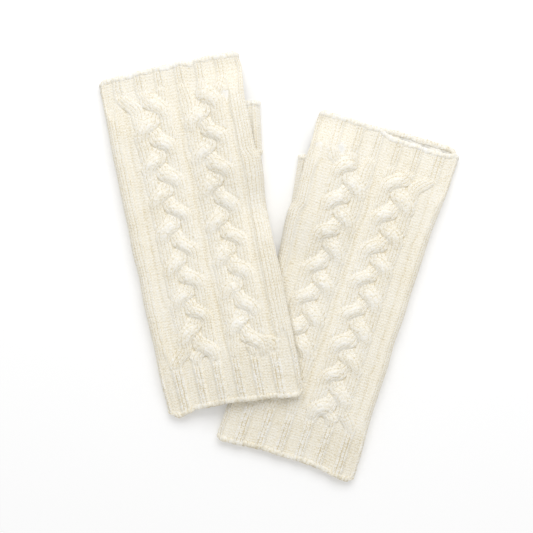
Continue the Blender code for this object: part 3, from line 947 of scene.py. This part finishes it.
def wool(name):
    """Brushed cream wool: warm painted shade in the gaps between stitches, pale on the yarn with
    painted highlight on the crests, and flecked.
    """
    material = bpy.data.materials.new(name)
    material.use_nodes = True
    tree = material.node_tree
    shader = tree.nodes["Principled BSDF"]
    for setting, value in WOOL_FINISH.items():
        shader.inputs[setting].default_value = value

    place = tree.nodes.new("ShaderNodeNewGeometry").outputs["Position"]
    yarn = tree.nodes.new("ShaderNodeAttribute")
    yarn.attribute_name = "yarn"
    tone = yarn.outputs["Fac"]
    for scale, strength in (FLECKS, PATCHES):
        shift = shift_node(tree, noise_node(tree, place, scale, 2.0), strength)
        tone = sum_node(tree, tone, shift)
    ramp = tree.nodes.new("ShaderNodeValToRGB")
    stops = ramp.color_ramp.elements
    stops[0].color = GAP_PAINTED_SHADE_COLOUR
    stops[1].color = CREST_PAINTED_HIGHLIGHT_COLOUR
    middle = stops.new(YARN_STOP)
    middle.color = YARN_COLOUR
    tree.links.new(tone, ramp.inputs["Fac"])
    tree.links.new(ramp.outputs["Color"], shader.inputs["Base Color"])

    bump = tree.nodes.new("ShaderNodeBump")
    scale, strength, depth = HAIR_BUMPS
    bump.inputs["Strength"].default_value = strength
    bump.inputs["Distance"].default_value = depth
    tree.links.new(noise_node(tree, place, scale, 3.0), bump.inputs["Height"])
    tree.links.new(bump.outputs["Normal"], shader.inputs["Normal"])
    return material


# ---- the pieces --------------------------------------------------------------
def build_hand(glove, body, cloth, fabric):
    """The palm, the back over it, and the two side seams."""
    quarter = COLUMNS // 4
    panel_rows = (CUFF_ROWS, ROWS - BAND_ROWS)
    back = (-quarter + SEAM_COLUMNS, quarter - SEAM_COLUMNS)
    palm = (quarter + SEAM_COLUMNS, 3 * quarter - SEAM_COLUMNS)
    mesh = hand_shell(glove, "palm_panel", fabric, palm, panel_rows, hole=thumb_hole)
    under = add_piece(glove, "palm_panel", mesh, cloth, body)
    mesh = hand_shell(glove, "back_panel", fabric, back, panel_rows)
    over = add_piece(glove, "back_panel", mesh, cloth, body)
    for piece, middle in (("thumb_side_seam", quarter), ("outer_side_seam", -quarter)):
        columns = (middle - SEAM_COLUMNS, middle + SEAM_COLUMNS)
        mesh = hand_shell(glove, piece, fabric, columns, panel_rows, extra=seam_ladder)
        add_piece(glove, piece, mesh, cloth, body)


def build_ribbing(glove, body, cloth, fabric):
    """The cuff, the finger band and their rolled edges."""
    around = (-COLUMNS // 2 + 1, COLUMNS // 2 + 1)
    for piece, rows, flat in (
        ("wrist_cuff", (EDGE_ROWS, CUFF_ROWS), CUFF_FLAT),
        ("finger_band", (ROWS - BAND_ROWS, ROWS - EDGE_ROWS), BAND_FLAT),
    ):
        mesh = hand_shell(glove, piece, fabric, around, rows, wraps=True)
        ribbed = add_piece(glove, piece, mesh, cloth, body)
    spots, _ = lattice(around, (0, 0))
    end = GLOVE_LENGTH / 2.0 - RIM_HALF
    for piece, middle, tones in (
        ("wrist_edge", -end, WRIST_EDGE_TONES),
        ("finger_edge", end, FINGER_EDGE_TONES),
    ):
        mesh = rim_mesh(
            glove, piece, hand_place, hand_relief, lining_depth, spots[0], middle, tones
        )
        add_piece(glove, piece, mesh, cloth, body)


def sleeve_lining(s):
    """How far the sleeve's inner skin lies under the CAD's: the same all round."""
    return np.full(s.shape, SLEEVE_LINING)


def build_thumb(glove, body, thumb, cloth):
    """The thumb sleeve, which rides on no body; its seam rides on the hand and its rolled edge on
    the thumb.
    """
    mesh = sleeve_shell(glove, "thumb_sleeve", (-ROOT_ROWS, SLEEVE_ROWS - EDGE_ROWS))
    sleeve = add_piece(glove, "thumb_sleeve", mesh, cloth)
    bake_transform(sleeve)
    spots = SLEEVE_ROUND / SLEEVE_COLUMNS * np.arange(-SLEEVE_COLUMNS // 2, SLEEVE_COLUMNS // 2)
    for piece, v, tones, slot, rider in (
        ("thumb_seam", -RIM_HALF / 2.0, THUMB_SEAM_TONES, "seam_yarn", body),
        ("thumb_edge", SLEEVE_LENGTH - RIM_HALF, THUMB_EDGE_TONES, "edge_yarn", thumb),
    ):
        mesh = rim_mesh(glove, piece, sleeve_place, sleeve_relief, sleeve_lining, spots, v, tones)
        add_piece(glove, piece, mesh, cloth, rider)


for glove in (RIGHT, LEFT):
    cloth = wool(f"{glove.name}_wool")
    fabric = hand_fabric(glove)
    build_hand(glove, f"{glove.name}_glove", cloth, fabric)
    build_ribbing(glove, f"{glove.name}_glove", cloth, fabric)
    build_thumb(glove, f"{glove.name}_glove", f"{glove.name}_thumb", cloth)


# ---- floor, light and camera -------------------------------------------------
WHITE = (1.0, 1.0, 1.0, 1.0)
FLOOR_WHITE = (0.9, 0.9, 0.9, 1.0)
FLOOR_GLOW = 0.12
FLOOR_REACH = 3.0
SKY_STRENGTH = 0.68
LAMP_SIZE = (1.2, 0.8)
LAMP_WATTS = 8.8
LAMP_PLACE = (0.08, 0.85, 0.95)
LENS_LENGTH = 85.0
SENSOR_WIDTH = 36.0
CAMERA_PLACE = (-0.0081, 0.0018, 0.853)


def floor():
    """A white table top."""
    mesh = bpy.data.meshes.new("floor")
    around = ((-1, -1), (1, -1), (1, 1), (-1, 1))
    corners = [(x * FLOOR_REACH, y * FLOOR_REACH, 0.0) for x, y in around]
    mesh.from_pydata(corners, [], [(0, 1, 2, 3)])
    ground = bpy.data.objects.new("floor", mesh)
    bpy.context.scene.collection.objects.link(ground)
    white = bpy.data.materials.new("floor_white")
    white.use_nodes = True
    shader = white.node_tree.nodes["Principled BSDF"]
    shader.inputs["Base Color"].default_value = FLOOR_WHITE
    shader.inputs["Emission Color"].default_value = WHITE
    shader.inputs["Emission Strength"].default_value = FLOOR_GLOW
    shader.inputs["Roughness"].default_value = 1.0
    shader.inputs["Specular IOR Level"].default_value = 0.0
    mesh.materials.append(white)


def lights():
    """An even white sky, and one soft lamp beyond the finger ends."""
    world = bpy.data.worlds.new("studio")
    bpy.context.scene.world = world
    world.use_nodes = True
    sky = world.node_tree.nodes["Background"]
    sky.inputs["Color"].default_value = WHITE
    sky.inputs["Strength"].default_value = SKY_STRENGTH
    lamp = bpy.data.lights.new("softbox", "AREA")
    lamp.shape = "RECTANGLE"
    lamp.size, lamp.size_y = LAMP_SIZE
    lamp.energy = LAMP_WATTS
    softbox = bpy.data.objects.new("softbox", lamp)
    softbox.location = LAMP_PLACE
    softbox.rotation_euler = (-Vector(LAMP_PLACE)).to_track_quat("-Z", "Y").to_euler()
    bpy.context.scene.collection.objects.link(softbox)


def camera():
    """Straight down over the pair."""
    lens = bpy.data.cameras.new("camera")
    lens.lens = LENS_LENGTH
    lens.sensor_width = SENSOR_WIDTH
    eye = bpy.data.objects.new("camera", lens)
    eye.location = CAMERA_PLACE
    bpy.context.scene.collection.objects.link(eye)
    bpy.context.scene.camera = eye


floor()
lights()
camera()
bpy.context.scene.view_settings.view_transform = "Standard"
